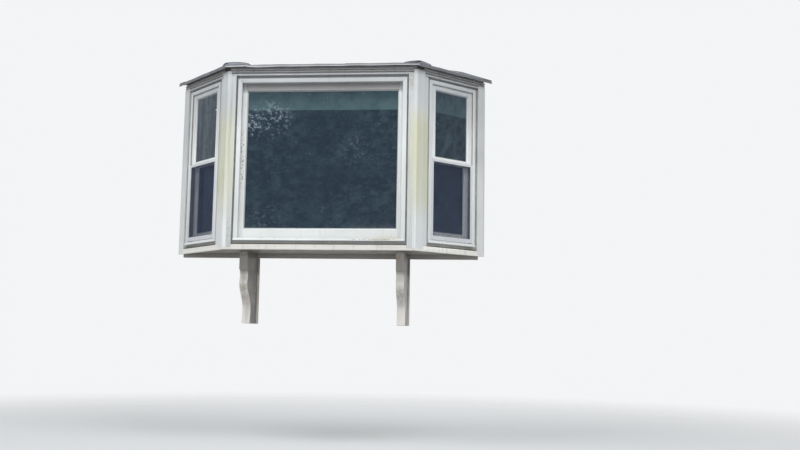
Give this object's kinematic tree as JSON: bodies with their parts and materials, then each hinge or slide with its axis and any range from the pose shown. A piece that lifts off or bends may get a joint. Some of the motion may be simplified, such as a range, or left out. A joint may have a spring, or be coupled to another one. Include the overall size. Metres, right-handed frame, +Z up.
{
  "type": "bay window",
  "caption": "Wall-hung bay window with angled sides, picture window between double-hung windows, low hipped metal roof and scrolled brackets.",
  "frame": {"origin": "centre of the wall ledger's back face, on the wall plane, level with the underside of the bay", "axes": "+X to the right as seen from outside, +Y into the wall, +Z up"},
  "size_m": [2.5174, 0.644, 2.0705],
  "materials": {
    "white_paint": "white paint on timber, weathered",
    "board_paint": "white paint on boards with a yellow-green bloom of algae",
    "sash_paint": "white paint on sashes and frames, grimy along the edges",
    "fascia_paint": "grey-white paint, chalked",
    "soffit_paint": "dull beige paint",
    "bracket_paint": "weathered off-white paint, stained green and pink",
    "plywood": "plain varnished board",
    "timber": "bare softwood",
    "glass": "dark reflecting panes",
    "screen_mesh": "white frame with grey insect mesh",
    "roof_metal": "dull grey sheet"
  },
  "bodies": {
    "root": {"seat_board": "plywood", "head_board": "plywood", "soffit_panel": "soffit_paint", "wall_ledger": "soffit_paint", "left_side_jamb": "white_paint", "right_side_jamb": "white_paint", "left_corner_post": "timber", "right_corner_post": "timber", "left_corner_board": "board_paint", "right_corner_board": "board_paint", "left_corner_strip": "board_paint", "right_corner_strip": "board_paint", "left_corner_bead": "board_paint", "right_corner_bead": "board_paint", "left_wall_casing": "white_paint", "right_wall_casing": "white_paint", "front_skirt": "white_paint", "left_skirt": "white_paint", "right_skirt": "white_paint", "front_fascia": "fascia_paint", "left_fascia": "fascia_paint", "right_fascia": "fascia_paint", "picture_frame": "sash_paint", "picture_sash": "sash_paint", "picture_glass": "glass", "left_window_frame": "sash_paint", "right_window_frame": "sash_paint", "left_upper_sash": "sash_paint", "right_upper_sash": "sash_paint", "left_upper_glass": "glass", "right_upper_glass": "glass", "left_lower_sash": "sash_paint", "right_lower_sash": "sash_paint", "left_lower_glass": "glass", "right_lower_glass": "glass", "left_screen": "screen_mesh", "right_screen": "screen_mesh", "roof_deck": "timber", "front_roof_sheet": "roof_metal", "left_roof_sheet": "roof_metal", "right_roof_sheet": "roof_metal", "hip_caps": "roof_metal", "wall_flashing": "roof_metal", "left_bracket": "bracket_paint", "right_bracket": "bracket_paint"}
  },
  "joints": []
}
